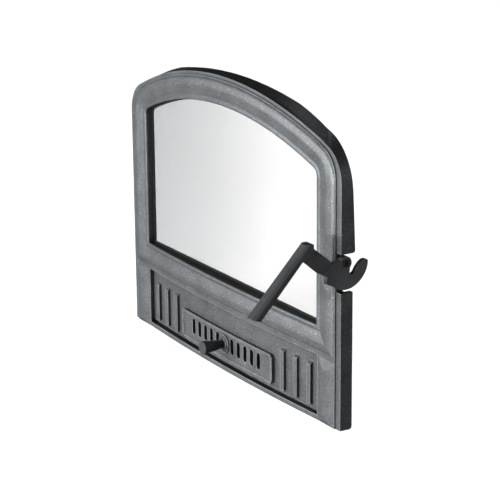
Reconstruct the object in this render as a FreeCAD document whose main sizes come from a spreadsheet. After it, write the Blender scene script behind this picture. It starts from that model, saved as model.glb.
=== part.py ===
"""Cast iron stove door: a bowed, arched leaf with a glass window, an air slider and a hook latch.

Millimetres. X runs along the width, -Y is the face of the door and +Z is up. The origin is on the hinge
axis, at the foot of the lower knuckle. The sub-parts are drawn from the middle of the leaf's bottom edge,
in the plane of the rear rim that meets the stove, and finish() moves them onto the hinge axis.
"""
import FreeCAD, Part
import math
import os

V = FreeCAD.Vector
AXIS_X, AXIS_Y, AXIS_Z = V(1, 0, 0), V(0, 1, 0), V(0, 0, 1)

SIZES = {
    # outline of the casting
    "leaf_width": 400.0,
    "leaf_height": 300.6,
    "crown_radius": 455.0,
    "shoulder_radius": 33.0,
    "rim_depth": 13.0,
    "rim_wall": 5.0,
    "rim_rounding": 3.0,
    "web_rear": 6.0,
    # the rear edge of the rim: a flatter crown, a tighter bend beside it and a wide shoulder
    "rear_crown_radius": 625.0,
    "rear_bend_start": 112.0,
    "rear_bend_end": 158.0,
    "rear_bend_drop": 15.0,
    "rear_bend_rise": 1.0,
    "rear_shoulder_level": 222.0,
    # the middle of the face bows forward between two flat margins
    "bow_rise": 5.2,
    "bow_margin": 35.0,
    # flat strip left outside the raised face
    "strip_side": 7.4,
    "strip_crown": 3.3,
    "strip_step": 1.5,
    # window and the moulding round it
    "stile_width": 36.6,
    "window_bottom": 94.0,
    "window_rail": 28.5,
    "window_corner": 8.0,
    "lip_width": 3.4,
    "lip_rise": 2.8,
    "hollow_rise": 2.3,
    "roll_rise": 4.5,
    "roll_crest": 15.5,
    "moulding_width": 24.0,
    "stile_moulding": 28.4,
    # recessed panel under the window
    "panel_margin": 36.0,
    "panel_bottom": 4.8,
    "panel_top": 65.0,
    "panel_sink": 3.3,
    "groove_width": 2.4,
    "groove_sink": 1.9,
    "rib_width": 5.5,
    "rib_pitch": 21.8,
    "rib_first": 104.5,
    "rib_bottom": 11.0,
    "rib_top": 53.5,
    "pilaster_inset": 7.6,
    "pilaster_width": 27.4,
    "pilaster_slope": 7.0,
    "pilaster_rise": 3.8,
    "pilaster_top": 65.5,
    "pilaster_bevel": 10.5,
    "pilaster_foot": 5.0,
    # vent plate
    "vent_width": 176.0,
    "vent_bottom": 11.5,
    "vent_top": 41.5,
    "vent_corner": 3.0,
    "vent_border": 2.2,
    "border_rise": 0.8,
    "slot_width": 6.6,
    "slot_length": 17.0,
    "slot_pitch": 12.4,
    "slot_first": 14.2,
    "slot_level": 28.2,
    # glass and what holds it
    "glass_lap": 8.5,
    "glass_corner": 4.0,
    "glass_thickness": 4.0,
    "gasket_inner": -1.0,
    "gasket_outer": 8.0,
    "gasket_thickness": 2.0,
    "seat_depth": 2.2,
    "seat_gap": 1.0,
    "clip_width": 14.0,
    "clip_reach": 9.5,
    "clip_tail": 6.0,
    "clip_thickness": 2.0,
    "clip_gap": 6.5,
    "clip_upper": 95.0,
    "clip_lower": 110.0,
    "boss_radius": 5.5,
    # fasteners
    "screw_radius": 2.5,
    "head_radius": 4.25,
    "head_height": 3.0,
    "socket_radius": 2.3,
    "socket_depth": 1.8,
    "thread_clearance": 0.05,
    "hole_clearance": 0.2,
    "clip_screw_length": 12.0,
    "running_gap": 0.3,
    # air slider
    "slider_margin": 14.0,
    "slider_bottom": 14.0,
    "slider_top": 42.5,
    "slider_thickness": 3.0,
    "slider_travel": 6.2,
    "guide_gap": 18.2,
    "guide_washer_radius": 5.0,
    "guide_washer_thickness": 1.0,
    "guide_screw_length": 10.0,
    "knob_length": 23.8,
    "knob_root_radius": 3.9,
    "knob_tip_radius": 7.2,
    "knob_bevel": 0.7,
    "collar_radius": 9.5,
    "collar_thickness": 1.2,
    "collar_step_radius": 6.8,
    "collar_step_thickness": 1.0,
    "knob_screw_grip": 14.0,
    # latch lever, measured from its pivot
    "pivot_level": 160.7,
    "pivot_depth": 7.8,
    "lever_thickness": 5.0,
    "lever_eye_radius": 6.4,
    "lever_bore_clearance": 0.06,
    "hook_radius": 24.3,
    "hook_tip_rise": 0.7,
    "throat_reach": 7.0,
    "throat_depth": 11.6,
    "arm_reach": 41.9,
    "arm_rise": 22.9,
    "arm_sink": 1.4,
    "grip_length": 82.0,
    "grip_slope": 46.5,
    "grip_root": 7.4,
    "grip_tip": 8.4,
    "grip_skew": 3.9,
    "grip_thickness": 12.0,
    "grip_rounding": 4.0,
    "pivot_head_radius": 3.3,
    "pivot_head_height": 1.2,
    "pivot_socket_radius": 1.6,
    "pivot_socket_depth": 0.9,
    "pivot_screw_clearance": 7.4,
    "pivot_washer_radius": 5.4,
    "pivot_washer_thickness": 1.0,
    # notch for the lever in the latch side
    "notch_bottom": 132.5,
    "notch_top": 169.0,
    "notch_reach": 7.2,
    "notch_rounding": 2.5,
    "keeper_depth": 2.4,
    "keeper_height": 56.0,
    "lug_radius": 6.2,
    "lug_clearance": 1.8,
    "scallop_radius": 44.0,
    "scallop_depth": 2.2,
    "scallop_level": 147.0,
    # hinge lugs behind the left edge
    "hinge_inset": 12.0,
    "hinge_rear": 6.0,
    "hinge_lug_radius": 6.5,
    "hinge_bore_radius": 3.1,
    "hinge_lug_height": 12.0,
    "hinge_lower": 22.0,
    "hinge_drop": 50.6,
}

doc = FreeCAD.newDocument("stove_door")
sheet = doc.addObject("Spreadsheet::Sheet", "Sizes")
for row, (alias, value) in enumerate(SIZES.items(), 1):
    sheet.set(f"A{row}", alias)
    sheet.set(f"B{row}", str(value))
    sheet.setAlias(f"B{row}", alias)
doc.recompute()

nodes = []


def size(alias):
    """A driving dimension, read from the sheet."""
    return float(sheet.get(alias))


def finish(node, label):
    """Gives a finished sub-part the name of its node and hangs it on the hinge axis."""
    hinge_foot = V(-size("leaf_width") / 2 + size("hinge_inset"), size("hinge_rear"), size("hinge_lower"))
    node.Placement = FreeCAD.Placement(-hinge_foot, FreeCAD.Rotation()).multiply(node.Placement)
    node.Label = label
    nodes.append(node)
    return node


def bind(node, **expressions):
    """Binds properties of an object to the sheet. Two underscores stand for a dot."""
    for name, expression in expressions.items():
        node.setExpression(name.replace("__", "."), expression)


# The face of the leaf

HALF_WIDTH = size("leaf_width") / 2
CROWN_CENTRE = size("leaf_height") - size("crown_radius")
FACE_FRONT = -60.0
BOW_REACH = HALF_WIDTH - size("bow_margin")
BOW_RADIUS = (BOW_REACH ** 2 + size("bow_rise") ** 2) / (2 * size("bow_rise"))
WINDOW_HALF = HALF_WIDTH - size("stile_width")
SLOTS_A_SIDE = 5
GUIDE_PLACE = size("slot_first") + size("slot_pitch") * (SLOTS_A_SIDE - 1) + size("guide_gap")


def bow_at(x):
    """How far the face stands forward of its flat margins at a distance x from the middle."""
    if abs(x) >= BOW_REACH:
        return 0.0
    return math.sqrt(BOW_RADIUS ** 2 - x ** 2) - (BOW_RADIUS - size("bow_rise"))


def face_at(x, lift=0.0):
    """Y of the bowed face at x, for a surface that stands lift in front of the strip."""
    return -size("rim_depth") - lift - bow_at(x)


def bowed_solid(lift, back):
    """All that lies between the plane y = back and the bowed face, as tall as the door."""
    reach, margin = BOW_REACH, HALF_WIDTH + 20
    left, right = V(-reach, face_at(-reach, lift), 0), V(reach, face_at(reach, lift), 0)
    far_left, far_right = V(-margin, left.y, 0), V(margin, right.y, 0)
    corners = [far_right, V(margin, back, 0), V(-margin, back, 0), far_left]
    edges = [Part.makeLine(far_left, left)]
    edges.append(Part.Arc(left, V(0, face_at(0, lift), 0), right).toShape())
    edges.append(Part.makeLine(right, far_right))
    edges += [Part.makeLine(a, b) for a, b in zip(corners, corners[1:])]
    plan = Part.Face(Part.Wire(edges))
    plan.translate(V(0, 0, -20))
    return plan.extrude(V(0, 0, size("leaf_height") + 40))


def prism(wire, back, front):
    """A solid with the outline of a wire drawn in the plane y = 0, from y = back to y = front."""
    face = Part.Face(wire)
    face.translate(V(0, back, 0))
    return face.extrude(V(0, front - back, 0))


def leaf_wire(side_inset, crown_inset, bottom):
    """The front outline of the leaf, drawn in from its sides and its crown. Its shoulders are tangent."""
    half, crown = HALF_WIDTH - side_inset, size("crown_radius") - crown_inset
    corner = size("shoulder_radius") - (side_inset + crown_inset) / 2
    centre_x = half - corner
    centre_z = CROWN_CENTRE + math.sqrt((crown - corner) ** 2 - centre_x ** 2)
    tangent = math.atan2(centre_x, centre_z - CROWN_CENTRE)
    bend = math.asin(size("rear_bend_start") / crown)

    def on_crown(angle):
        return V(crown * math.sin(angle), 0, CROWN_CENTRE + crown * math.cos(angle))

    middle = (tangent + math.pi / 2) / 2
    shoulder = V(centre_x + corner * math.sin(middle), 0, centre_z + corner * math.cos(middle))
    points = [V(half, 0, bottom), V(half, 0, centre_z), shoulder, on_crown(tangent), on_crown((tangent + bend) / 2),
              on_crown(bend), V(0, 0, CROWN_CENTRE + crown)]
    return outline_through(points)


def rear_wire():
    """The outline of the rim's rear edge, with the same stretches as the front outline."""
    crown, start, end = size("rear_crown_radius"), size("rear_bend_start"), size("rear_bend_end")
    centre = size("leaf_height") - crown
    top = centre + math.sqrt(crown ** 2 - start ** 2)
    foot = top - size("rear_bend_drop")
    middle = V((start + end) / 2, 0, (top + foot) / 2 + size("rear_bend_rise"))
    level = size("rear_shoulder_level")
    reach, drop = HALF_WIDTH - end, foot - level
    shoulder = V(end + reach * 0.705, 0, foot - drop * 0.345)
    points = [V(HALF_WIDTH, 0, 0), V(HALF_WIDTH, 0, level), shoulder, V(end, 0, foot), middle,
              V(start, 0, top), V(0, 0, size("leaf_height"))]
    return outline_through(points)


def outline_through(points):
    """A closed outline from the points of its right half: a side, a shoulder, a bend and half the crown."""
    foot, side, shoulder, bend_end, bend, bend_start, top = points
    left = [V(-point.x, 0, point.z) for point in points]
    return Part.Wire([
        Part.makeLine(left[0], left[1]),
        Part.Arc(left[1], left[2], left[3]).toShape(),
        Part.Arc(left[3], left[4], left[5]).toShape(),
        Part.Arc(left[5], top, bend_start).toShape(),
        Part.Arc(bend_start, bend, bend_end).toShape(),
        Part.Arc(bend_end, shoulder, side).toShape(),
        Part.makeLine(side, foot),
        Part.makeLine(foot, left[0]),
    ])


def skirt_blank():
    """The block of the casting: the rear outline drawn over to the front one, and then straight on."""
    front = leaf_wire(0, 0, 0)
    straight = prism(front, -size("rim_depth"), FACE_FRONT)
    front.translate(V(0, -size("rim_depth"), 0))
    return Part.makeLoft([rear_wire(), front], True, True).fuse(straight)


def window_arch(offset):
    """Half width, crown radius, and corner centre of the window, grown outwards by an offset."""
    half = WINDOW_HALF
    crown = size("crown_radius") - size("window_rail")
    corner = size("window_corner")
    centre_x = half - corner
    centre_z = CROWN_CENTRE + math.sqrt((crown - corner) ** 2 - centre_x ** 2)
    return half + offset, crown + offset, centre_x, centre_z


def window_wire(offset, foot_radius=0.0):
    """The window's outline, grown by an offset, with tangent corners under the arch."""
    half, crown, centre_x, centre_z = window_arch(offset)
    bottom = size("window_bottom") - offset
    corner = size("window_corner") + offset
    tangent = math.atan2(centre_x, centre_z - CROWN_CENTRE)
    middle = (tangent + math.pi / 2) / 2

    def on_corner(angle, sign):
        return V(sign * (centre_x + corner * math.sin(angle)), 0, centre_z + corner * math.cos(angle))

    crown_left = V(-crown * math.sin(tangent), 0, CROWN_CENTRE + crown * math.cos(tangent))
    crown_right = V(-crown_left.x, 0, crown_left.z)
    right_foot, left_foot = V(half, 0, bottom), V(-half, 0, bottom)
    edges = [
        Part.Arc(V(-half, 0, centre_z), on_corner(middle, -1), crown_left).toShape(),
        Part.Arc(crown_left, V(0, 0, CROWN_CENTRE + crown), crown_right).toShape(),
        Part.Arc(crown_right, on_corner(middle, 1), V(half, 0, centre_z)).toShape(),
    ]
    if foot_radius:
        turn = foot_radius * (1 - math.sqrt(0.5))
        edges += [
            Part.makeLine(V(half, 0, centre_z), V(half, 0, bottom + foot_radius)),
            Part.Arc(V(half, 0, bottom + foot_radius), V(half - turn, 0, bottom + turn),
                     V(half - foot_radius, 0, bottom)).toShape(),
            Part.makeLine(V(half - foot_radius, 0, bottom), V(-half + foot_radius, 0, bottom)),
            Part.Arc(V(-half + foot_radius, 0, bottom), V(-half + turn, 0, bottom + turn),
                     V(-half, 0, bottom + foot_radius)).toShape(),
            Part.makeLine(V(-half, 0, bottom + foot_radius), V(-half, 0, centre_z)),
        ]
    else:
        edges += [
            Part.makeLine(V(half, 0, centre_z), right_foot),
            Part.makeLine(right_foot, left_foot),
            Part.makeLine(left_foot, V(-half, 0, centre_z)),
        ]
    return Part.Wire(edges)


def rectangle_wire(half, bottom, top, middle=0.0):
    corners = [V(middle - half, 0, bottom), V(middle + half, 0, bottom),
               V(middle + half, 0, top), V(middle - half, 0, top)]
    return Part.makePolygon(corners + corners[:1])


def cut_corner_wire(half, bottom, top, cut):
    """A rectangle with its corners cut off."""
    corners = [V(half, 0, bottom + cut), V(half, 0, top - cut), V(half - cut, 0, top), V(cut - half, 0, top),
               V(-half, 0, top - cut), V(-half, 0, bottom + cut), V(cut - half, 0, bottom), V(half - cut, 0, bottom)]
    return Part.makePolygon(corners + corners[:1])


def slot_wire(x, z, half_long, half_short, upright):
    """A round-ended slot about (x, z)."""
    run = half_long - half_short

    def at(along, across):
        return V(x + across, 0, z + along) if upright else V(x + along, 0, z + across)

    return Part.Wire([
        Part.makeLine(at(-run, -half_short), at(run, -half_short)),
        Part.Arc(at(run, -half_short), at(half_long, 0), at(run, half_short)).toShape(),
        Part.makeLine(at(run, half_short), at(-run, half_short)),
        Part.Arc(at(-run, half_short), at(-half_long, 0), at(-run, -half_short)).toShape(),
    ])


# The moulding: lip, hollow and roll, carried round the window on the bowed face

def moulding_profile():
    """Distance out from the window's edge, and the rise above the strip, along the section."""
    lip, crest, outer = size("lip_width"), size("roll_crest"), size("moulding_width")
    return [
        (0.3, size("lip_rise") - 0.5),
        (1.2, size("lip_rise")),
        (lip, size("lip_rise")),
        (lip + 1.3, size("hollow_rise")),
        (lip + 4.0, size("hollow_rise") + 0.6),
        (crest - 4.0, size("roll_rise") - 0.8),
        (crest, size("roll_rise")),
        (crest + 4.0, size("roll_rise") - 0.6),
        (outer - 1.6, size("strip_step") + 1.5),
        (outer, size("strip_step") + 0.2),
    ]


def scallop_at(x, z):
    """How far the latch stile may stand forward of the strip, where it is hollowed for the lever's arm."""
    radius, away = size("scallop_radius"), abs(z - size("scallop_level"))
    if x < 0 or away > radius / 2:
        return size("roll_rise")
    return size("scallop_depth") + radius - math.sqrt(radius ** 2 - away ** 2)


def moulding_section(x, z, out_x, out_z):
    """The section at one place of the window's edge, pushed forward with the face, wider on the stiles."""
    widening, top = size("stile_moulding") / size("moulding_width"), []
    for distance, rise in moulding_profile():
        across = x + out_x * widening * distance
        top.append(V(across, face_at(across, min(rise, scallop_at(x, z))), z + out_z * distance))
    curve = Part.BSplineCurve()
    curve.interpolate(top)
    root = -size("rim_depth") + 3.0
    outer_root, inner_root = V(top[-1].x, root, top[-1].z), V(top[0].x, root, top[0].z)
    return Part.Wire([
        curve.toShape(),
        Part.makeLine(top[-1], outer_root),
        Part.makeLine(outer_root, inner_root),
        Part.makeLine(inner_root, top[0]),
    ])


def moulding_stations():
    """Where the sections stand on each stretch: arch, two corners, two stiles and the bottom rail."""
    half, crown, centre_x, centre_z = window_arch(0.0)
    corner, bottom = size("window_corner"), size("window_bottom")
    tangent = math.atan2(centre_x, centre_z - CROWN_CENTRE)
    arch_steps, corner_steps, rail_steps, scallop_steps = 14, 5, 12, 8
    arch, rail = [], []
    for i in range(arch_steps + 1):
        angle = tangent * (2 * i / arch_steps - 1)
        out_x, out_z = math.sin(angle), math.cos(angle)
        arch.append((crown * out_x, CROWN_CENTRE + crown * out_z, out_x, out_z))
    for i in range(rail_steps + 1):
        share = 2 * i / rail_steps - 1
        rail.append((share * half, bottom, share, -1.0))
    stretches = [arch, rail]
    for sign in (-1, 1):
        turn = []
        for i in range(corner_steps + 1):
            angle = tangent + (math.pi / 2 - tangent) * i / corner_steps
            out_x, out_z = sign * math.sin(angle), math.cos(angle)
            turn.append((sign * centre_x + corner * out_x, centre_z + corner * out_z, out_x, out_z))
        stretches.append(turn)
    radius, rise = size("scallop_radius"), size("roll_rise") - size("scallop_depth")
    reach = math.sqrt(radius ** 2 - (radius - rise) ** 2)
    hollow = [size("scallop_level") + reach * math.cos(math.pi * i / scallop_steps) for i in range(scallop_steps + 1)]
    for sign, levels in ((-1, []), (1, hollow)):
        stile = [(sign * half, level, sign, 0.0) for level in [centre_z] + levels]
        stretches.append(stile + [(sign * half, bottom, sign, -1.0)])
    return stretches


def moulding():
    """The lofted stretches: arch, corners, stiles and bottom rail."""
    return [Part.makeLoft([moulding_section(*station) for station in stations], True, True)
            for stations in moulding_stations()]


# The panel under the window

def ribs():
    """Three upright bars on each side of the vent plate, with sloping tops."""
    bars = []
    for side in (-1, 1):
        for number in range(3):
            x = side * (size("rib_first") + number * size("rib_pitch"))
            floor = face_at(x, -size("panel_sink"))
            bottom, top, half = size("rib_bottom"), size("rib_top"), size("rib_width") / 2
            root, front = -size("web_rear") - 1, floor - 12
            corners = [V(x - half, root, bottom), V(x - half, root, top), V(x - half, floor, top),
                       V(x - half, front, top - (floor - front)), V(x - half, front, bottom)]
            profile = Part.Face(Part.makePolygon(corners + corners[:1]))
            bar = profile.extrude(V(size("rib_width"), 0, 0))
            bars.append(bar.common(bowed_solid(0.0, root)))
    return bars


def vent_plate():
    """The raised plate with its thin border, in front of the panel's floor."""
    root = -size("web_rear") - 1
    half, border = size("vent_width") / 2, size("vent_border")
    bottom, top, corner = size("vent_bottom"), size("vent_top"), size("vent_corner")
    outer = prism(cut_corner_wire(half, bottom, top, corner), root, FACE_FRONT)
    plate = outer.common(bowed_solid(size("border_rise"), root))
    inner = prism(cut_corner_wire(half - border, bottom + border, top - border, corner - border / 2),
                  root, FACE_FRONT)
    return plate.cut(inner.cut(bowed_solid(0.0, 10.0)))


def pilasters():
    """A low faceted moulding down each side of the panel, with a steep bevel at its top and its foot."""
    bodies = []
    root = -size("web_rear") - 1
    flat = -size("rim_depth") - size("strip_step") + 0.3
    crest = -size("rim_depth") - size("pilaster_rise")
    outer = HALF_WIDTH - size("pilaster_inset")
    inner = outer - size("pilaster_width")
    ridge = inner + size("pilaster_slope")
    top, drop, foot = size("pilaster_top"), size("pilaster_bevel"), size("pilaster_foot")
    reach, over = 6.0, outer - inner + 20
    for side in (-1, 1):
        plan = [V(side * inner, flat, 0), V(side * ridge, crest + 0.5, 0), V(side * (ridge + outer) / 2, crest, 0),
                V(side * outer, flat, 0), V(side * outer, root, 0), V(side * inner, root, 0)]
        section = Part.Face(Part.Wire([
            Part.makeLine(plan[0], plan[1]),
            Part.Arc(plan[1], plan[2], plan[3]).toShape(),
            Part.makeLine(plan[3], plan[4]),
            Part.makeLine(plan[4], plan[5]),
            Part.makeLine(plan[5], plan[0]),
        ]))
        body = section.extrude(V(0, 0, top))
        start = side * (inner - 10)
        upper = drop / (flat - crest)
        lower = foot / (flat - crest)
        for level, slope, way in ((top, upper, 1), (0.0, lower, -1)):
            corners = [V(start, flat, level), V(start, flat - reach, level - way * reach * slope),
                       V(start, flat - reach, level + way * 5), V(start, flat, level + way * 5)]
            wedge = Part.Face(Part.makePolygon(corners + corners[:1]))
            body = body.cut(wedge.extrude(V(side * over, 0, 0)))
        bodies.append(body)
    return bodies


def slot_places():
    """X of each air slot, as many on either side of the knob."""
    return [side * (size("slot_first") + size("slot_pitch") * i) for side in (-1, 1) for i in range(SLOTS_A_SIDE)]


def air_slots(back, front):
    wires = [slot_wire(x, size("slot_level"), size("slot_length") / 2, size("slot_width") / 2, True)
             for x in slot_places()]
    return [prism(wire, back, front) for wire in wires]


def round_bar(radius, start, direction, length):
    return Part.makeCylinder(radius, length, start, direction)


PIVOT = V(HALF_WIDTH, -size("pivot_depth"), size("pivot_level"))
LEVER_BACK = HALF_WIDTH - size("lever_thickness")
LUG_END = LEVER_BACK - size("running_gap") - size("pivot_washer_thickness")
LUG_REACH = LUG_END - WINDOW_HALF - size("glass_lap") - size("lug_clearance")
PIVOT_SEAT = HALF_WIDTH + size("running_gap")
PIVOT_SCREW_LENGTH = PIVOT_SEAT - WINDOW_HALF - size("glass_lap") - size("pivot_screw_clearance")
HINGE_X = -HALF_WIDTH + size("hinge_inset")
HINGE_FEET = (size("hinge_lower"), size("leaf_height") - size("hinge_drop") - size("hinge_lug_height"))


def hinge_lugs():
    """Two knuckles behind the left edge, each with an upright bore for a pin of the stove's frame."""
    radius, inset, rear = size("hinge_lug_radius"), size("hinge_inset"), size("hinge_rear")
    bodies = []
    for bottom in HINGE_FEET:
        knuckle = round_bar(radius, V(HINGE_X, rear, bottom), AXIS_Z, size("hinge_lug_height"))
        depth = rear + size("web_rear") + 1
        web = Part.makeBox(2 * radius, depth, size("hinge_lug_height"), V(HINGE_X - radius, rear - depth, bottom))
        bodies.append(knuckle.fuse(web))
    return bodies


def hinge_bores():
    return [round_bar(size("hinge_bore_radius"), V(HINGE_X, size("hinge_rear"), bottom - 2), AXIS_Z,
                      size("hinge_lug_height") + 4) for bottom in HINGE_FEET]


GLASS_REAR = -size("web_rear") - size("seat_depth") + size("gasket_thickness") + size("glass_thickness")
SLIDER_REAR = -size("web_rear") + size("running_gap") + size("slider_thickness")
GUIDE_SEAT = SLIDER_REAR + size("running_gap") + size("guide_washer_thickness")


def clip_frames():
    """Each glass clip's screw place and the direction from there to the glass, by the clip's name."""
    half, crown, centre_x, centre_z = window_arch(size("glass_lap"))
    radius = crown + size("clip_gap")
    lean = math.asin(size("clip_upper") / radius)
    level = size("window_bottom") - size("glass_lap") - size("clip_gap")
    frames = {}
    for side, word in ((-1, "left"), (1, "right")):
        upper = V(side * size("clip_upper"), GLASS_REAR, CROWN_CENTRE + radius * math.cos(lean))
        frames["upper_" + word] = (upper, V(-side * math.sin(lean), 0, -math.cos(lean)))
        frames["lower_" + word] = (V(side * size("clip_lower"), GLASS_REAR, level), V(0, 0, 1))
    return frames


def rounded_foot():
    """What is left of the block once the rear edge along the door's foot is rounded."""
    rounding, margin, over = size("rim_rounding"), HALF_WIDTH + 20, size("leaf_height") + 20
    turn = rounding * (1 - math.sqrt(0.5))
    start, middle, end = V(-margin, -rounding, 0), V(-margin, -turn, turn), V(-margin, 0, rounding)
    upper_rear, upper_front, lower_front = V(-margin, 0, over), V(-margin, FACE_FRONT, over), V(-margin, FACE_FRONT, 0)
    section = Part.Wire([
        Part.makeLine(lower_front, start),
        Part.Arc(start, middle, end).toShape(),
        Part.makeLine(end, upper_rear),
        Part.makeLine(upper_rear, upper_front),
        Part.makeLine(upper_front, lower_front),
    ])
    return Part.Face(section).extrude(V(2 * margin, 0, 0))


def keeper_rim():
    """The rim's rear edge runs out to a deeper corner above the latch notch."""
    x, bottom, rounding = HALF_WIDTH - size("rim_wall"), size("notch_top"), size("notch_rounding")
    depth, top, turn = size("keeper_depth"), bottom + size("keeper_height"), rounding * (1 - math.sqrt(0.5))
    inside = -size("web_rear") + 1
    corner, heel = V(x, depth, bottom + rounding), V(x, depth - rounding, bottom)
    low, high, tip = V(x, inside, bottom), V(x, inside, top), V(x, 0, top)
    section = Part.Wire([
        Part.makeLine(tip, corner),
        Part.Arc(corner, V(x, depth - turn, bottom + turn), heel).toShape(),
        Part.makeLine(heel, low),
        Part.makeLine(low, high),
        Part.makeLine(high, tip),
    ])
    return Part.Face(section).extrude(V(size("rim_wall"), 0, 0))


def latch_notch():
    """The gap in the latch side. Its rear upper corner keeps the rounding of the rim."""
    reach, bottom = size("notch_reach"), size("notch_bottom")
    return Part.makeBox(reach + 12, 60, size("notch_top") - bottom, V(HALF_WIDTH - reach, FACE_FRONT + 20, bottom))


def leaf_shape():
    """The casting."""
    step, wall, web = size("strip_step"), size("rim_wall"), size("web_rear")
    raised = prism(leaf_wire(size("strip_side"), size("strip_crown"), 0), 1, FACE_FRONT)
    body = skirt_blank().common(bowed_solid(0.0, 0.0))
    body = body.fuse(raised.common(bowed_solid(step, -web)))
    body = body.multiFuse(moulding())
    body = body.cut(prism(window_wire(0.0), 1, FACE_FRONT))
    body = body.cut(prism(leaf_wire(wall, wall, wall), 1, -web))
    body = body.cut(prism(window_wire(size("glass_lap") + size("seat_gap"), size("glass_corner")), 1,
                          -web - size("seat_depth")))
    half, bottom = HALF_WIDTH - size("panel_margin"), size("panel_bottom")
    panel = prism(rectangle_wire(half, bottom, size("panel_top")), 1, FACE_FRONT)
    body = body.cut(panel.cut(bowed_solid(-size("panel_sink"), 10.0)))
    groove = prism(rectangle_wire(half, bottom, bottom + size("groove_width")), 1, FACE_FRONT)
    body = body.cut(groove.cut(bowed_solid(-size("panel_sink") - size("groove_sink"), 10.0)))
    body = body.multiFuse(ribs() + pilasters() + [vent_plate()])
    stem_half = size("slider_travel") + size("screw_radius") + size("running_gap")
    stem_slot = slot_wire(0, size("slot_level"), stem_half, size("screw_radius") + size("running_gap"), False)
    body = body.cut(air_slots(1, FACE_FRONT) + [prism(stem_slot, 1, FACE_FRONT)])
    body = body.common(rounded_foot())
    body = body.fuse(keeper_rim())
    body = body.cut(latch_notch())
    lug = round_bar(size("lug_radius"), V(LUG_END, PIVOT.y, PIVOT.z), V(-1, 0, 0), LUG_REACH)
    bosses = [round_bar(size("boss_radius"), V(place.x, -web - 1, place.z), AXIS_Y, GLASS_REAR + web + 1)
              for place, inward in clip_frames().values()]
    body = body.multiFuse([lug] + hinge_lugs() + bosses)
    thread = size("screw_radius") + size("thread_clearance")
    holes = hinge_bores()
    holes.append(round_bar(thread, PIVOT + V(5, 0, 0), V(-1, 0, 0), PIVOT_SCREW_LENGTH + 6))
    for place, inward in clip_frames().values():
        depth = size("clip_screw_length") - size("clip_thickness") + 1
        holes.append(round_bar(thread, place, V(0, -1, 0), depth))
    for side in (-1, 1):
        seat = V(side * GUIDE_PLACE, GUIDE_SEAT, size("slot_level"))
        holes.append(round_bar(thread, seat, V(0, -1, 0), size("guide_screw_length") + 1))
    return body.cut(holes).removeSplitter()


def make_leaf():
    leaf = doc.addObject("Part::Feature", "Leaf")
    leaf.Shape = leaf_shape()
    finish(leaf, "door_leaf")


# Sketches and bodies

def origin_plane(body, role):
    return next(feature for feature in body.Origin.OriginFeatures if feature.Role == role)


def sketch_from(body, name, role, wires, turn):
    """A sketch on one of the body's planes, drawn from wires whose points turn() takes to the plane."""
    sketch = body.newObject("Sketcher::SketchObject", name)
    sketch.AttachmentSupport = [(origin_plane(body, role), "")]
    sketch.MapMode = "FlatFace"
    for wire in wires:
        for edge in wire.Edges:
            start, end = turn(edge.valueAt(edge.FirstParameter)), turn(edge.valueAt(edge.LastParameter))
            if isinstance(edge.Curve, Part.Circle):
                middle = turn(edge.valueAt((edge.FirstParameter + edge.LastParameter) / 2))
                sketch.addGeometry(Part.Arc(start, middle, end), False)
            else:
                sketch.addGeometry(Part.LineSegment(start, end), False)
    return sketch


def on_front(point):
    """From the door's X and Z to a sketch on the XZ plane."""
    return V(point.x, point.z, 0)


def plate_body(name, label, wires, thickness, rear):
    """A flat piece with its rear face at a given Y, padded forwards from a sketch of its outline."""
    body = doc.addObject("PartDesign::Body", name)
    sketch = sketch_from(body, name + "Outline", "XZ_Plane", wires, on_front)
    pad = body.newObject("PartDesign::Pad", name + "Pad")
    pad.Profile = sketch
    bind(pad, Length=thickness)
    body.Placement = FreeCAD.Placement(V(0, rear, 0), FreeCAD.Rotation())
    finish(body, label)
    return body


def make_glass():
    plate_body("Glass", "glass_pane", [window_wire(size("glass_lap"), size("glass_corner"))],
               "Sizes.glass_thickness", GLASS_REAR)
    ring = [window_wire(size("gasket_outer"), size("glass_corner")), window_wire(size("gasket_inner"))]
    plate_body("Gasket", "glass_gasket", ring, "Sizes.gasket_thickness",
               GLASS_REAR - size("glass_thickness"))


def make_clips():
    """Four flat steel clips, each with a screw, that press the pane on its gasket."""
    half, reach, tail = size("clip_width") / 2, size("clip_reach"), size("clip_tail")
    hole = size("screw_radius") + size("hole_clearance")
    outline = [V(-half, -tail, 0), V(half, -tail, 0), V(half, reach, 0), V(-half, reach, 0)]
    for word, (place, inward) in clip_frames().items():
        angle = math.degrees(math.atan2(inward.x, inward.z))
        turned = FreeCAD.Rotation(AXIS_Y, angle)
        body = doc.addObject("PartDesign::Body", "Clip")
        sketch = body.newObject("Sketcher::SketchObject", "ClipOutline")
        sketch.AttachmentSupport = [(origin_plane(body, "XZ_Plane"), "")]
        sketch.MapMode = "FlatFace"
        for start, end in zip(outline, outline[1:] + outline[:1]):
            sketch.addGeometry(Part.LineSegment(start, end), False)
        sketch.addGeometry(Part.Circle(V(0, 0, 0), AXIS_Z, hole), False)
        pad = body.newObject("PartDesign::Pad", "ClipPad")
        pad.Profile = sketch
        pad.Reversed = True
        bind(pad, Length="Sizes.clip_thickness")
        body.Placement = FreeCAD.Placement(place, turned)
        finish(body, "glass_clip_" + word)
        screw = make_screw("ClipScrew", "Sizes.clip_screw_length")
        seat = place + V(0, size("clip_thickness"), 0)
        screw.Placement = FreeCAD.Placement(seat, FreeCAD.Rotation(AXIS_X, -90))
        finish(screw, "clip_screw_" + word)


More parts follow.
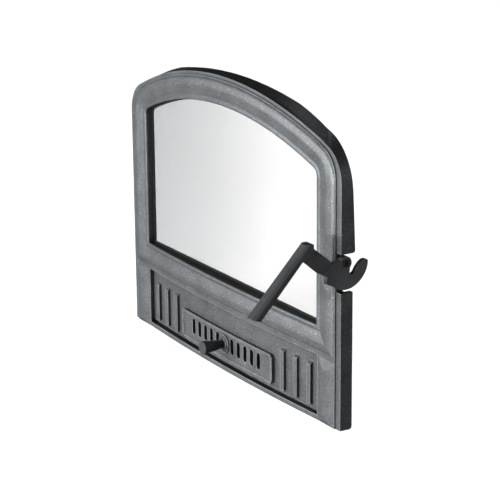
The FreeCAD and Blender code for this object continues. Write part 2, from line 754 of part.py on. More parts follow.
def make_screw(name, length, kind=""):
    """A socket head screw. Its head stands on the XY plane and its shank points down."""
    head_radius, head_height = f"Sizes.{kind}head_radius", f"Sizes.{kind}head_height"
    head = doc.addObject("Part::Cylinder", name + "Head")
    bind(head, Radius=head_radius, Height=head_height)
    shank = doc.addObject("Part::Cylinder", name + "Shank")
    bind(shank, Radius="Sizes.screw_radius", Height=length, Placement__Base__z="-(" + length + ")")
    socket = doc.addObject("Part::Prism", name + "Socket")
    socket.Polygon = 6
    bind(socket, Circumradius=f"Sizes.{kind}socket_radius", Height=head_height,
         Placement__Base__z=f"{head_height} - Sizes.{kind}socket_depth")
    solid = doc.addObject("Part::Fuse", name + "Blank")
    solid.Base, solid.Tool = head, shank
    screw = doc.addObject("Part::Cut", name)
    screw.Base, screw.Tool = solid, socket
    return screw


def make_washer(name, label, radius, thickness, base):
    """A flat ring along Y, bound to the sheet, with its rear face at the given Y."""
    disc = doc.addObject("Part::Cylinder", name + "Disc")
    bind(disc, Radius=radius, Height=thickness)
    bore = doc.addObject("Part::Cylinder", name + "Bore")
    bind(bore, Radius="Sizes.screw_radius + Sizes.hole_clearance", Height=thickness)
    washer = doc.addObject("Part::Cut", name)
    washer.Base, washer.Tool = disc, bore
    washer.Placement = base
    return finish(washer, label)


def make_slider():
    """The damper plate behind the slots, and the two screws with washers that it slides on."""
    half, bottom, top = GUIDE_PLACE + size("slider_margin"), size("slider_bottom"), size("slider_top")
    level, travel = size("slot_level"), size("slider_travel")
    guide_short = size("screw_radius") + size("running_gap")
    guide_long = travel + guide_short
    wires = [rectangle_wire(half, bottom, top)]
    low, high = level - size("slot_length") / 2, level + size("slot_length") / 2
    wires += [rectangle_wire(size("slot_width") / 2, low, high, x) for x in slot_places()]
    wires += [slot_wire(side * GUIDE_PLACE, level, guide_long, guide_short, False) for side in (-1, 1)]
    body = plate_body("Slider", "air_slider", wires, "Sizes.slider_thickness", SLIDER_REAR)
    stem = body.newObject("Sketcher::SketchObject", "StemHole")
    stem.AttachmentSupport = [(origin_plane(body, "XZ_Plane"), "")]
    stem.MapMode = "FlatFace"
    stem.addGeometry(Part.Circle(V(0, level, 0), AXIS_Z, size("screw_radius") + size("hole_clearance")), False)
    hole = body.newObject("PartDesign::Pocket", "StemPocket")
    hole.Profile = stem
    hole.Type = "ThroughAll"
    hole.Midplane = True
    for side, word in ((-1, "left"), (1, "right")):
        x = side * GUIDE_PLACE
        upright = FreeCAD.Rotation(AXIS_X, -90)
        forward = FreeCAD.Rotation(AXIS_X, 90)
        make_washer("GuideWasher", "slider_washer_" + word, "Sizes.guide_washer_radius",
                    "Sizes.guide_washer_thickness", FreeCAD.Placement(V(x, GUIDE_SEAT, level), forward))
        screw = make_screw("GuideScrew", "Sizes.guide_screw_length")
        screw.Placement = FreeCAD.Placement(V(x, GUIDE_SEAT, level), upright)
        finish(screw, "slider_screw_" + word)


def make_knob():
    """The turned knob in front, the stepped washer under it and the screw that joins both to the slider."""
    level = size("slot_level")
    forward = FreeCAD.Rotation(AXIS_X, 90)
    collar_rear = face_at(0) - size("running_gap")
    collar_front = collar_rear - size("collar_thickness") - size("collar_step_thickness")
    rim = doc.addObject("Part::Cylinder", "CollarRim")
    bind(rim, Radius="Sizes.collar_radius", Height="Sizes.collar_thickness")
    step = doc.addObject("Part::Cylinder", "CollarStep")
    bind(step, Radius="Sizes.collar_step_radius", Height="Sizes.collar_thickness + Sizes.collar_step_thickness")
    bore = doc.addObject("Part::Cylinder", "CollarBore")
    bind(bore, Radius="Sizes.screw_radius + Sizes.hole_clearance",
         Height="Sizes.collar_thickness + Sizes.collar_step_thickness")
    blank = doc.addObject("Part::Fuse", "CollarBlank")
    blank.Base, blank.Tool = rim, step
    collar = doc.addObject("Part::Cut", "Collar")
    collar.Base, collar.Tool = blank, bore
    collar.Placement = FreeCAD.Placement(V(0, collar_rear, level), forward)
    finish(collar, "knob_washer")

    cone = doc.addObject("Part::Cone", "KnobCone")
    bind(cone, Radius1="Sizes.knob_root_radius", Radius2="Sizes.knob_tip_radius", Height="Sizes.knob_length")
    doc.recompute()
    rim_edge = next(number for number, edge in enumerate(cone.Shape.Edges, 1)
                    if isinstance(edge.Curve, Part.Circle) and abs(edge.Curve.Radius - size("knob_tip_radius")) < 1e-6)
    bevelled = doc.addObject("Part::Chamfer", "KnobBevelled")
    bevelled.Base = cone
    bevelled.Edges = [(rim_edge, size("knob_bevel"), size("knob_bevel"))]
    thread = doc.addObject("Part::Cylinder", "KnobThread")
    bind(thread, Radius="Sizes.screw_radius + Sizes.thread_clearance", Height="Sizes.knob_screw_grip + 1")
    knob = doc.addObject("Part::Cut", "Knob")
    knob.Base, knob.Tool = bevelled, thread
    knob.Placement = FreeCAD.Placement(V(0, collar_front, level), forward)
    finish(knob, "slider_knob")

    length = SLIDER_REAR - collar_front + size("knob_screw_grip")
    screw = make_screw("KnobScrew", str(length))
    screw.Placement = FreeCAD.Placement(V(0, SLIDER_REAR, level), FreeCAD.Rotation(AXIS_X, -90))
    finish(screw, "knob_screw")


# The latch lever, drawn from its pivot: eye, hook, arm and grip in one casting

def polar(radius, degrees):
    return V(radius * math.cos(math.radians(degrees)), radius * math.sin(math.radians(degrees)), 0)


def arc(start, middle, end):
    return Part.Arc(start, middle, end)


def hook_outline():
    """The plate with eye and hook: X is backwards and Y is up, from the pivot."""
    eye, hook = size("lever_eye_radius"), size("hook_radius")
    tip = V(hook - 2.7, size("hook_tip_rise"), 0)
    tip_outer = polar(hook, -5)
    outer, heel, nose = polar(hook + 0.2, -59), polar(hook + 0.7, -84), polar(hook + 0.3, 250)
    floor = V(size("throat_reach"), -size("throat_depth"), 0)
    eye_left, eye_right = polar(eye, 150), polar(eye, -44)
    neck, throat_back = floor + V(-2.7, 3.0, 0), floor + V(4.2, 4.1, 0)
    bend = tip + V(-3.4, -0.9, 0)
    chin, cheek, jaw = nose + V(-5.6, 3.6, 0), nose + V(-11.6, 6.2, 0), nose + V(-12.1, 9.6, 0)
    step, shelf, brow = nose + V(-11.2, 13.6, 0), nose + V(-13.7, 14.8, 0), nose + V(-12.7, 17.2, 0)
    temple = V(-13.0, 1.9, 0)
    return [
        arc(eye_left, polar(eye, 60), eye_right),
        Part.LineSegment(eye_right, neck),
        arc(neck, floor + V(-1.6, 0.5, 0), floor),
        arc(floor, floor + V(2.3, 1.3, 0), throat_back),
        arc(throat_back, floor + V(7.3, 8.2, 0), bend),
        arc(bend, tip + V(-1.6, -0.1, 0), tip),
        arc(tip, tip + V(1.8, -0.7, 0), tip_outer),
        arc(tip_outer, polar(hook, -27), outer),
        arc(outer, heel, nose),
        Part.LineSegment(nose, chin),
        Part.LineSegment(chin, cheek),
        Part.LineSegment(cheek, jaw),
        Part.LineSegment(jaw, step),
        Part.LineSegment(step, shelf),
        Part.LineSegment(shelf, brow),
        Part.LineSegment(brow, temple),
        Part.LineSegment(temple, eye_left),
    ]


def grip_corners():
    """The front edge of the grip and its rear edge, from its root at the arm to its tip."""
    slope = math.radians(size("grip_slope"))
    along, across = V(-math.cos(slope), -math.sin(slope), 0), V(math.sin(slope), -math.cos(slope), 0)
    root = V(-size("arm_reach"), size("arm_rise"), 0)
    tip = root + along * size("grip_length")
    inner_root = root + along * 12.6 + across * size("grip_root")
    inner_tip = tip - along * size("grip_skew") + across * size("grip_tip")
    return root, tip, inner_tip, inner_root


def arm_outline():
    """The arm between the plate and the grip."""
    root, _, _, inner_root = grip_corners()
    eye = size("lever_eye_radius")
    return closed_lines([root, root + V(7.7, -0.3, 0), root + V(9.0, -4.9, 0), V(-13.0, 1.9, 0),
                         V(-eye, -eye, 0), V(-19.0, -10.6, 0), root + V(12.9, -27.9, 0), inner_root])


def grip_outline():
    """The thick bar of the grip with the block where it leaves the arm."""
    root, tip, inner_tip, inner_root = grip_corners()
    return closed_lines([root, tip, inner_tip, inner_root, root + V(8.7, -10.9, 0), root + V(7.7, -0.3, 0)])


def closed_lines(corners):
    return [Part.LineSegment(a, b) for a, b in zip(corners, corners[1:] + corners[:1])]


def side_sketch(body, name, geometry, offset=None):
    """A sketch on the body's YZ plane, set off from it by an expression where one is given."""
    sketch = body.newObject("Sketcher::SketchObject", name)
    sketch.AttachmentSupport = [(origin_plane(body, "YZ_Plane"), "")]
    sketch.MapMode = "FlatFace"
    if offset:
        bind(sketch, AttachmentOffset__Base__z=offset)
    for item in geometry:
        sketch.addGeometry(item, False)
    return sketch


def make_lever():
    body = doc.addObject("PartDesign::Body", "Lever")
    hook = body.newObject("PartDesign::Pad", "HookPlate")
    hook.Profile = side_sketch(body, "HookOutline", hook_outline())
    hook.Reversed = True
    bind(hook, Length="Sizes.lever_thickness")
    arm = body.newObject("PartDesign::Pad", "Arm")
    arm.Profile = side_sketch(body, "ArmOutline", arm_outline(), "-Sizes.arm_sink")
    arm.Reversed = True
    bind(arm, Length="Sizes.lever_thickness - Sizes.arm_sink")
    grip = body.newObject("PartDesign::Pad", "GripBar")
    grip.Profile = side_sketch(body, "GripOutline", grip_outline())
    grip.Reversed = True
    bind(grip, Length="Sizes.grip_thickness")
    doc.recompute()
    root, tip = grip_corners()[:2]
    front = Part.makeLine(V(0, root.x, root.y), V(-size("grip_thickness"), tip.x, tip.y))
    half_way = front.CenterOfMass
    front_edges = [f"Edge{number}" for number, edge in enumerate(grip.Shape.Edges, 1)
                   if abs(edge.CenterOfMass.y - half_way.y) < 0.1 and abs(edge.CenterOfMass.z - half_way.z) < 0.1]
    fillet = body.newObject("PartDesign::Fillet", "GripRounding")
    fillet.Base = (grip, front_edges)
    bind(fillet, Radius="Sizes.grip_rounding")
    bore = body.newObject("PartDesign::Pocket", "PivotBore")
    hole = Part.Circle(V(0, 0, 0), AXIS_Z, size("screw_radius") + size("lever_bore_clearance"))
    bore.Profile = side_sketch(body, "PivotHole", [hole])
    bore.Type = "ThroughAll"
    bore.Midplane = True
    body.Placement = FreeCAD.Placement(PIVOT, FreeCAD.Rotation())
    finish(body, "latch_lever")


def make_pivot():
    """The pivot's screw and the washer between the lug and the lever."""
    sideways = FreeCAD.Rotation(AXIS_Y, 90)
    screw = make_screw("PivotScrew", str(PIVOT_SCREW_LENGTH), "pivot_")
    screw.Placement = FreeCAD.Placement(V(PIVOT_SEAT, PIVOT.y, PIVOT.z), sideways)
    finish(screw, "pivot_screw")
    place = FreeCAD.Placement(V(LUG_END, PIVOT.y, PIVOT.z), sideways)
    make_washer("PivotWasher", "pivot_washer", "Sizes.pivot_washer_radius", "Sizes.pivot_washer_thickness", place)


make_leaf()
make_glass()
make_clips()
make_slider()
make_knob()
make_lever()
make_pivot()
doc.recompute()

faults = [thing.Name for thing in doc.Objects if "Invalid" in thing.State or "Error" in thing.State]
for node in nodes:
    if node.Shape.isNull() or not node.Shape.isValid() or not node.Shape.Solids:
        faults.append(node.Label)
if faults:
    raise RuntimeError("not built: " + ", ".join(faults))

os.makedirs("parts", exist_ok=True)
for node in nodes:
    node.Shape.exportStep(f"parts/{node.Label}.step")
    box = node.Shape.BoundBox
    print(f"{node.Label:26s} solids {len(node.Shape.Solids)} volume {node.Shape.Volume:10.1f}"
          f"  x {box.XMin:7.1f} {box.XMax:7.1f}  y {box.YMin:6.1f} {box.YMax:6.1f}  z {box.ZMin:6.1f} {box.ZMax:6.1f}")
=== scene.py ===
"""The looks of the cast iron stove door: paint, iron, glass, studio and camera. Lengths are in metres."""
import math

import bpy
from mathutils import Matrix, Vector


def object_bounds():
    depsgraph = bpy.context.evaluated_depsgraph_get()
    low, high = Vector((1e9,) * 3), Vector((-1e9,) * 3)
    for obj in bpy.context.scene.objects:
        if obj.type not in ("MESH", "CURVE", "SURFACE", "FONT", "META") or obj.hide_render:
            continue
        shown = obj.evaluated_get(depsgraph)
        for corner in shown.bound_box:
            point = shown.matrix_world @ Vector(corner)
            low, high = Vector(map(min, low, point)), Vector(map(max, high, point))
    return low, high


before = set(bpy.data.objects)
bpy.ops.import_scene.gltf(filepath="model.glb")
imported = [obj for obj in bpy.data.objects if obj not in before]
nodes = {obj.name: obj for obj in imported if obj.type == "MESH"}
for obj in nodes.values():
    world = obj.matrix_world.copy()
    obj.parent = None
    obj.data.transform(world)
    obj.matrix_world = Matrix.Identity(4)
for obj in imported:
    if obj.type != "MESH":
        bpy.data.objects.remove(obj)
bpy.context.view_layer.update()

MM = 0.001


# Shader building blocks

SHADER_SAMPLES = 6                      # rays of each bevel and ambient occlusion node
NOISE_SPAN = (0.3, 0.7)                 # nearly all of a noise lies between these
EDGE_COSINES = (0.985, 0.92)            # of true and rounded normal, on flat ground and on an edge
GROOVE_OPENNESS = 0.5                   # ambient occlusion at the bottom of a groove
SIDEWAYS_AND_FRONT = (-0.15, -0.97)     # Y of a normal that looks sideways and one that looks front


def grey(level):
    """An opaque grey."""
    return (level, level, level, 1)


def plug(tree, node, sockets):
    """Fills sockets, by name or number, with a value or with the link from another node's output."""
    for key, value in sockets.items():
        if isinstance(value, bpy.types.NodeSocket):
            tree.links.new(value, node.inputs[key])
        else:
            node.inputs[key].default_value = value


def add(tree, kind, sockets=None, **properties):
    """A new node. Its properties are set first, because some sockets depend on them."""
    node = tree.nodes.new(kind)
    for name, value in properties.items():
        setattr(node, name, value)
    plug(tree, node, sockets or {})
    return node


def new_material(name):
    """A material, its node tree and its Principled shader."""
    material = bpy.data.materials.new(name)
    material.use_nodes = True
    return material, material.node_tree, material.node_tree.nodes["Principled BSDF"]


def object_point(tree):
    """The shaded point in the frame's own coordinates."""
    return add(tree, "ShaderNodeTexCoord").outputs["Object"]


def one_axis(tree, vector, axis):
    """X, Y or Z of a vector."""
    return add(tree, "ShaderNodeSeparateXYZ", {0: vector}).outputs[axis]


def noise(tree, scale, detail=4.0, roughness=0.5):
    """Noise that is fixed to the piece. The scale is about the number of grains to a metre."""
    sockets = {"Vector": object_point(tree), "Scale": scale, "Detail": detail, "Roughness": roughness}
    return add(tree, "ShaderNodeTexNoise", sockets).outputs["Fac"]


def ramp(tree, source, stops):
    """A colour ramp with (position, colour) stops."""
    node = add(tree, "ShaderNodeValToRGB", {"Fac": source})
    elements = node.color_ramp.elements
    elements[0].position, elements[0].color = stops[0]
    elements[1].position, elements[1].color = stops[-1]
    for position, colour in stops[1:-1]:
        elements.new(position).color = colour
    return node.outputs["Color"]


def greys(tree, source, stops):
    """A ramp with (position, grey level) stops."""
    return ramp(tree, source, [(position, grey(level)) for position, level in stops])


def two_tone(tree, source, tones, span=NOISE_SPAN):
    """The first tone at the low end of the span, the second at its high end."""
    return ramp(tree, source, list(zip(span, tones)))


def remap(tree, source, given, wanted):
    """A value carried from the given range to the wanted one and held inside it."""
    sockets = {"Value": source, "From Min": given[0], "From Max": given[1],
               "To Min": wanted[0], "To Max": wanted[1]}
    return add(tree, "ShaderNodeMapRange", sockets).outputs["Result"]


def maths(tree, operation, a, b):
    """Two values or outputs joined by a math node."""
    return add(tree, "ShaderNodeMath", {0: a, 1: b}, operation=operation).outputs[0]


def product(tree, value, *factors):
    """A value multiplied by each factor in turn."""
    for factor in factors:
        value = maths(tree, "MULTIPLY", value, factor)
    return value


def mix(tree, factor, a, b):
    """Colour a where the factor is 0, colour b where it is 1."""
    sockets = {"Factor": factor, "A": a, "B": b}
    return add(tree, "ShaderNodeMix", sockets, data_type="RGBA").outputs["Result"]


def shaded(tree, colour, *shares):
    """A colour multiplied by each grey share in turn."""
    for share in shares:
        sockets = {"Factor": 1.0, "A": colour, "B": share}
        node = add(tree, "ShaderNodeMix", sockets, data_type="RGBA", blend_type="MULTIPLY")
        colour = node.outputs["Result"]
    return colour


def bump(tree, height, strength, distance, normal=None):
    """The normal of a rough skin, laid over another normal where one is given."""
    sockets = {"Height": height, "Strength": strength, "Distance": distance}
    if normal is not None:
        sockets["Normal"] = normal
    return add(tree, "ShaderNodeBump", sockets).outputs["Normal"]


def edge_mask(tree, radius):
    """1 on edges and 0 on flat ground more than a radius away, and the normal rounded along the edges."""
    rounded = add(tree, "ShaderNodeBevel", {"Radius": radius}, samples=SHADER_SAMPLES).outputs["Normal"]
    plain = add(tree, "ShaderNodeNewGeometry").outputs["Normal"]
    dot = add(tree, "ShaderNodeVectorMath", {0: rounded, 1: plain}, operation="DOT_PRODUCT")
    return remap(tree, dot.outputs["Value"], EDGE_COSINES, (0.0, 1.0)), rounded


def openness(tree, reach):
    """1 on open ground, less the more of the space within reach is covered."""
    node = add(tree, "ShaderNodeAmbientOcclusion", {"Distance": reach}, samples=SHADER_SAMPLES)
    return node.outputs["AO"]


def crevice(tree, reach, darkest, open_at=0.85):
    """1 on open ground, down to the darkest share in grooves and inner corners; multiplied into a colour, it
    is painted shade.
    """
    return remap(tree, openness(tree, reach), (GROOVE_OPENNESS, open_at), (darkest, 1.0))


def front_lit_share(tree, sideways):
    """Painted light: 1 where the casting faces front towards the lamps, less where it turns sideways or to
    the rear.
    """
    normal = add(tree, "ShaderNodeTexCoord").outputs["Normal"]
    return remap(tree, one_axis(tree, normal, "Y"), SIDEWAYS_AND_FRONT, (sideways, 1.0))


# Materials

PAINT_TONES = ((0.142, 0.155, 0.165, 1), (0.208, 0.226, 0.238, 1))
SPECK_TONES = ((0.088, 0.093, 0.099, 1), (0.324, 0.336, 0.346, 1))
SPECK_SPAN = (0.42, 0.6)
SPECK_SHARE = (0.2, 0.6)                # of the paint, in and between the pits
PIT_SPAN = (0.35, 0.65)
FLECK_LEVELS = ((0.26, 0.5), (0.34, 0.97), (0.66, 1.0), (0.75, 1.9))
# Painted shade: the paint darkened by ambient occlusion in hollows and inner corners.
HOLLOW_SHADE_REACH = 25 * MM
HOLLOW_SHADE_LEVELS = ((0.4, 0.1), (0.66, 0.72), (0.9, 0.8), (1.0, 1.0))
# Light edges: partly wear, partly a painted edge highlight.
WORN_AND_HIGHLIGHT_TONE = (0.82, 0.84, 0.85, 1)
WORN_PATCHES = ((0.35, 0.6), (0.5, 1.0))
WORN_HEIGHTS = ((43 * MM, 60 * MM), (1.0, 0.45))    # full on the lower panel, faint above it


def stove_paint():
    """Grey stove paint over a fine sand-cast skin, with edges lightened partly by wear and partly as a
    painted highlight, and painted shade in hollows and on sideways faces.
    """
    material, tree, shader = new_material("stove_paint")
    mottle = noise(tree, scale=38.0, detail=5.0, roughness=0.6)
    grain = noise(tree, scale=900.0, detail=3.0, roughness=0.65)
    pits = noise(tree, scale=320.0, detail=2.0)
    specked = mix(tree, remap(tree, pits, PIT_SPAN, SPECK_SHARE), two_tone(tree, mottle, PAINT_TONES),
                  two_tone(tree, grain, SPECK_TONES, SPECK_SPAN))
    # The ground colour carries painted shade in hollows and on faces that turn sideways.
    ground = shaded(tree, specked,
                    greys(tree, noise(tree, scale=450.0, detail=2.0), FLECK_LEVELS),
                    greys(tree, openness(tree, HOLLOW_SHADE_REACH), HOLLOW_SHADE_LEVELS),
                    front_lit_share(tree, sideways=0.62))
    edge, rounded = edge_mask(tree, 1.0 * MM)
    # Lighter edges, partly wear and partly a painted highlight that fades on faces turned sideways.
    worn_and_highlit = product(tree, edge,
                   remap(tree, noise(tree, scale=120.0), *WORN_PATCHES),
                   remap(tree, one_axis(tree, object_point(tree), "Z"), *WORN_HEIGHTS),
                   crevice(tree, 2 * MM, darkest=0.0, open_at=0.9),
                   front_lit_share(tree, sideways=0.3))
    skin = maths(tree, "ADD", grain, product(tree, pits, 0.8))
    plug(tree, shader, {
        "Base Color": mix(tree, worn_and_highlit, ground, WORN_AND_HIGHLIGHT_TONE),
        "Metallic": 0.3,
        "Roughness": remap(tree, mottle, NOISE_SPAN, (0.34, 0.46)),
        "Normal": bump(tree, skin, strength=0.4, distance=0.15 * MM, normal=rounded),
    })
    return material


IRON_TONES = ((0.055, 0.059, 0.062, 1), (0.08, 0.085, 0.088, 1))
IRON_EDGE = (0.2, 0.205, 0.21, 1)
ARM_TO_PLATE_LIGHT = ((-0.032, -0.020), (0.94, 1.5))      # along Y, painted light: the plate and the hook lighter than the arm


def black_iron():
    """Satin black coating on the lever's casting, with painted light on the plate and hook and painted shade
    in inner corners.
    """
    material, tree, shader = new_material("black_iron")
    mottle = noise(tree, scale=60.0, detail=4.0, roughness=0.55)
    grain = noise(tree, scale=1100.0, detail=3.0, roughness=0.6)
    plate_lit_tone = shaded(tree, two_tone(tree, mottle, IRON_TONES),
                    remap(tree, one_axis(tree, object_point(tree), "Y"), *ARM_TO_PLATE_LIGHT))
    edge, rounded = edge_mask(tree, 0.7 * MM)
    colour = mix(tree, product(tree, edge, 0.5), plate_lit_tone, IRON_EDGE)
    plug(tree, shader, {
        # Painted shade: darker in inner corners within 5 mm.
        "Base Color": shaded(tree, colour, crevice(tree, 5 * MM, darkest=0.3)),
        "Roughness": remap(tree, mottle, NOISE_SPAN, (0.42, 0.52)),
        "Normal": bump(tree, grain, strength=0.3, distance=0.12 * MM, normal=rounded),
    })
    return material


TURNED_TONES = ((0.022, 0.023, 0.025, 1), (0.034, 0.036, 0.038, 1))
TURNED_EDGE = (0.14, 0.145, 0.15, 1)
KNOB_FACE = (-0.0502, -0.0494)          # along Y, the front of the knob and just behind it
# Painted highlight: the tone of the knob's front face.
KNOB_FACE_LIT_TONE = (0.088, 0.094, 0.096, 1)


def turned_black():
    """Blackened turned steel, with a painted highlight that lightens the front of the knob and painted shade
    that darkens the rest towards black.
    """
    material, tree, shader = new_material("turned_black")
    marks = noise(tree, scale=300.0, detail=2.0)
    lit_knob_face = remap(tree, one_axis(tree, object_point(tree), "Y"), KNOB_FACE, (1.0, 0.0))
    body = mix(tree, lit_knob_face, two_tone(tree, marks, TURNED_TONES), KNOB_FACE_LIT_TONE)
    edge, rounded = edge_mask(tree, 0.5 * MM)
    colour = mix(tree, product(tree, edge, 0.5), body, TURNED_EDGE)
    plug(tree, shader, {
        # Painted shade: nearly black wherever anything lies within 30 mm.
        "Base Color": shaded(tree, colour, crevice(tree, 30 * MM, darkest=0.03, open_at=1.0)),
        "Metallic": 0.1,
        "Roughness": remap(tree, marks, NOISE_SPAN, (0.34, 0.44)),
        "Normal": bump(tree, marks, strength=0.1, distance=0.05 * MM, normal=rounded),
    })
    return material


ZINC_TONES = ((0.17, 0.17, 0.165, 1), (0.27, 0.27, 0.262, 1))
DARK_STEEL_TONES = (grey(0.13), grey(0.22))
EDGE_GAIN = 1.5                         # how much lighter than its light tone the edges of plated steel are


def plated_steel(name, tones, roughness):
    """Zinc plated or plain rolled steel with fine streaks."""
    material, tree, shader = new_material(name)
    streak = noise(tree, scale=260.0, detail=4.0, roughness=0.6)
    cloud = noise(tree, scale=45.0, detail=3.0)
    bright = tuple(channel * EDGE_GAIN for channel in tones[1][:3]) + (1,)
    edge, rounded = edge_mask(tree, 0.35 * MM)
    plug(tree, shader, {
        "Base Color": mix(tree, product(tree, edge, 0.4), two_tone(tree, cloud, tones), bright),
        "Metallic": 0.9,
        "Roughness": remap(tree, streak, NOISE_SPAN, (roughness - 0.06, roughness + 0.08)),
        "Normal": bump(tree, streak, strength=0.12, distance=0.04 * MM, normal=rounded),
    })
    return material


TAPE_TONES = (grey(0.008), (0.05, 0.05, 0.048, 1))
TAPE_SPAN = (0.35, 0.65)


def fibre_tape():
    """Black glass fibre tape, seen as a thin woven edge."""
    material, tree, shader = new_material("fibre_tape")
    weave = noise(tree, scale=700.0, detail=2.0, roughness=0.7)
    plug(tree, shader, {
        "Base Color": two_tone(tree, weave, TAPE_TONES, TAPE_SPAN),
        "Roughness": 0.9,
        "Normal": bump(tree, weave, strength=0.6, distance=0.3 * MM),
    })
    return material


# Painted reflection: a grey cast in the glass, strongest at the window's left edge.
REFLECTION_VEIL_FADES = (0.02, 0.27)               # along X, from the window's left edge to three quarters of its width
REFLECTION_VEIL_CLOUDS = (-0.03, 0.03)
REFLECTION_VEIL_TINTS = ((0.0, (0.768, 0.776, 0.78, 1)), (0.5, (0.856, 0.86, 0.863, 1)), (1.0, grey(1.0)))
GLASS_INDEX = 1.45
REFLECTION_SHARE = 0.18                 # of the mirror image that bare glass would show


def pane_glass():
    """Clear flat glass: light passes straight through, with a weak reflection and a faint grey painted
    reflection that fades from the left edge.
    """
    material, tree, _ = new_material("pane_glass")
    tree.nodes.clear()
    # Painted reflection: the glass lets less light through at its left side.
    reflection_veil = maths(tree, "ADD",
                 remap(tree, one_axis(tree, object_point(tree), "X"), REFLECTION_VEIL_FADES, (0.0, 1.0)),
                 remap(tree, noise(tree, scale=6.0, detail=2.0), NOISE_SPAN, REFLECTION_VEIL_CLOUDS))
    clear = add(tree, "ShaderNodeBsdfTransparent", {"Color": ramp(tree, reflection_veil, REFLECTION_VEIL_TINTS)})
    gloss = add(tree, "ShaderNodeBsdfGlossy", {"Roughness": 0.02})
    fresnel = add(tree, "ShaderNodeFresnel", {"IOR": GLASS_INDEX})
    share = product(tree, fresnel.outputs[0], REFLECTION_SHARE)
    surface = add(tree, "ShaderNodeMixShader", {0: share, 1: clear.outputs[0], 2: gloss.outputs[0]})
    add(tree, "ShaderNodeOutputMaterial", {"Surface": surface.outputs[0]})
    return material


def dress(material, *names):
    """Puts one material on whole pieces."""
    for name in names:
        mesh = nodes[name].data
        mesh.materials.clear()
        mesh.materials.append(material)
        mesh.polygons.foreach_set("material_index", [0] * len(mesh.polygons))


CORNERS = ("upper_left", "upper_right", "lower_left", "lower_right")
dress(plated_steel("zinc_steel", ZINC_TONES, roughness=0.46),
      "pivot_washer", "slider_washer_left", "slider_washer_right",
      *["glass_clip_" + corner for corner in CORNERS], *["clip_screw_" + corner for corner in CORNERS])
dress(plated_steel("dark_steel", DARK_STEEL_TONES, roughness=0.42),
      "air_slider", "knob_screw", "slider_screw_left", "slider_screw_right")
dress(turned_black(), "slider_knob", "pivot_screw")
dress(stove_paint(), "door_leaf", "knob_washer")
dress(black_iron(), "latch_lever")
dress(pane_glass(), "glass_pane")
dress(fibre_tape(), "glass_gasket")


# Studio

FLOOR_HALF = 12.0
FLOOR_TONES = (grey(0.9), grey(0.93))
FLOOR_SUN_POWER = 3.3
FLOOR_SUN_ANGLE = math.radians(20)
LIGHTS_AIM = (0.188, -0.015, 0.13)
AREA_LIGHTS = (
    # name, position, width, height, power in watts
    ("key_left", (-1.0, -1.7, 0.42), 1.0, 0.9, 13.4),
    ("front_low", (0.4, -2.0, 0.05), 1.4, 0.14, 40.5),
    ("front_high", (0.0, -1.9, 0.95), 1.0, 0.5, 12),
    ("fill_right", (2.2, -0.3, 0.2), 1.2, 0.8, 7.3),
    ("back_left", (-0.9, 2.0, 0.5), 1.4, 1.2, 3),
    ("back_low", (0.188, 2.6, 0.16), 1.6, 0.3, 28),
)
WORLD_TINT = (0.95, 0.97, 1.0, 1)
WORLD_STRENGTH = 0.005


def put_in_scene(name, data):
    """A new object in the scene for a mesh, a light or a camera."""
    thing = bpy.data.objects.new(name, data)
    bpy.context.scene.collection.objects.link(thing)
    return thing


def stage_mesh(name, vertices, faces, material):
    """A mesh that belongs to the studio and not to the part."""
    mesh = bpy.data.meshes.new(name)
    mesh.from_pydata(vertices, [], faces)
    mesh.materials.append(material)
    thing = put_in_scene(name, mesh)
    return thing


def floor_material():
    """Matt off-white."""
    material, tree, shader = new_material("studio_floor")
    plug(tree, shader, {
        "Base Color": two_tone(tree, noise(tree, scale=3.0, detail=2.0), FLOOR_TONES),
        "Roughness": 0.9,
    })
    return material


def studio_floor(level):
    """A wide floor that only the camera sees: it throws no light and no shadow on the door."""
    corners = [(x * FLOOR_HALF, y * FLOOR_HALF, level) for x, y in ((-1, -1), (1, -1), (1, 1), (-1, 1))]
    floor = stage_mesh("floor", corners, [(0, 1, 2, 3)], floor_material())
    floor.visible_diffuse = False
    floor.visible_glossy = False
    floor.visible_shadow = False
    return floor


def area_light(name, position, width, height, power):
    """A rectangular light turned towards the door."""
    light = bpy.data.lights.new(name, "AREA")
    light.shape = "RECTANGLE"
    light.size = width
    light.size_y = height
    light.energy = power
    lamp = put_in_scene(name, light)
    lamp.location = position
    lamp.rotation_euler = (Vector(LIGHTS_AIM) - Vector(position)).to_track_quat("-Z", "Y").to_euler()


def floor_light(floor):
    """A sun straight above that lights only the floor and casts no shadow of the door."""
    light = bpy.data.lights.new("floor_sun", "SUN")
    light.energy = FLOOR_SUN_POWER
    light.angle = FLOOR_SUN_ANGLE
    lamp = put_in_scene("floor_sun", light)
    floor_only = bpy.data.collections.new("floor_only")
    floor_only.objects.link(floor)
    lamp.light_linking.receiver_collection = floor_only
    lamp.light_linking.blocker_collection = floor_only


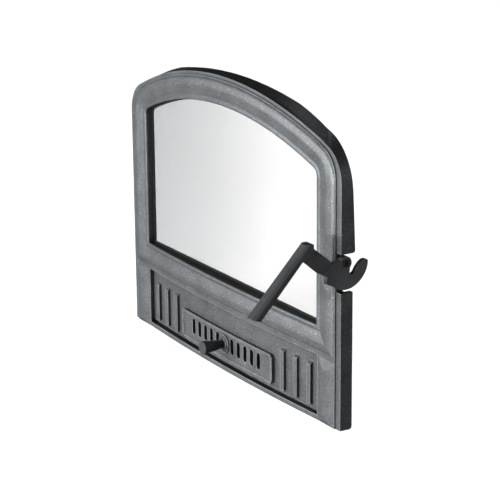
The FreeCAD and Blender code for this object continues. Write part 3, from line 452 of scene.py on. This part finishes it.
def studio_world():
    """White where the camera looks and nearly dark as a source of light."""
    world = bpy.data.worlds.new("studio")
    bpy.context.scene.world = world
    world.use_nodes = True
    tree = world.node_tree
    tree.nodes.clear()
    seen = add(tree, "ShaderNodeBackground", {"Color": grey(1.0), "Strength": 1.0})
    lit = add(tree, "ShaderNodeBackground", {"Color": WORLD_TINT, "Strength": WORLD_STRENGTH})
    is_seen = add(tree, "ShaderNodeLightPath").outputs["Is Camera Ray"]
    choice = add(tree, "ShaderNodeMixShader", {0: is_seen, 1: lit.outputs[0], 2: seen.outputs[0]})
    add(tree, "ShaderNodeOutputWorld", {"Surface": choice.outputs[0]})


floor_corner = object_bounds()[0]
floor = studio_floor(floor_corner.z)
for area_values in AREA_LIGHTS:
    area_light(*area_values)
floor_light(floor)
studio_world()
bpy.context.scene.view_settings.view_transform = "Standard"


# Camera, as fitted to the photograph

CAMERA_AZIMUTH = math.radians(58.92)
CAMERA_ELEVATION = math.radians(16.13)
CAMERA_ROLL = math.radians(-0.458)
CAMERA_DISTANCE = 1.73394
CAMERA_CLIP = 0.05
SENSOR_WIDTH = 36                       # millimetres
PHOTO_WIDTH = 500                       # pixels
FOCUS = 1785.27                         # pixels
LEAF_MIDDLE = Vector((0.188, -0.006, -0.022))
CAMERA_TARGET = LEAF_MIDDLE + Vector((0.04243, -0.013, 0.13556))


def place_camera():
    """The camera on its sphere round the target, turned to it and rolled."""
    away = Vector((math.sin(CAMERA_AZIMUTH) * math.cos(CAMERA_ELEVATION),
                   -math.cos(CAMERA_AZIMUTH) * math.cos(CAMERA_ELEVATION), math.sin(CAMERA_ELEVATION)))
    right = Vector((math.cos(CAMERA_AZIMUTH), math.sin(CAMERA_AZIMUTH), 0))
    up = away.cross(right)
    rolled_right = right * math.cos(CAMERA_ROLL) + up * math.sin(CAMERA_ROLL)
    rolled_up = up * math.cos(CAMERA_ROLL) - right * math.sin(CAMERA_ROLL)
    data = bpy.data.cameras.new("camera")
    data.lens = FOCUS / PHOTO_WIDTH * SENSOR_WIDTH
    data.sensor_width = SENSOR_WIDTH
    data.clip_start = CAMERA_CLIP
    camera = put_in_scene("camera", data)
    turn = Matrix((rolled_right, rolled_up, away)).transposed().to_4x4()
    camera.matrix_world = Matrix.Translation(CAMERA_TARGET + away * CAMERA_DISTANCE) @ turn
    bpy.context.scene.camera = camera


place_camera()
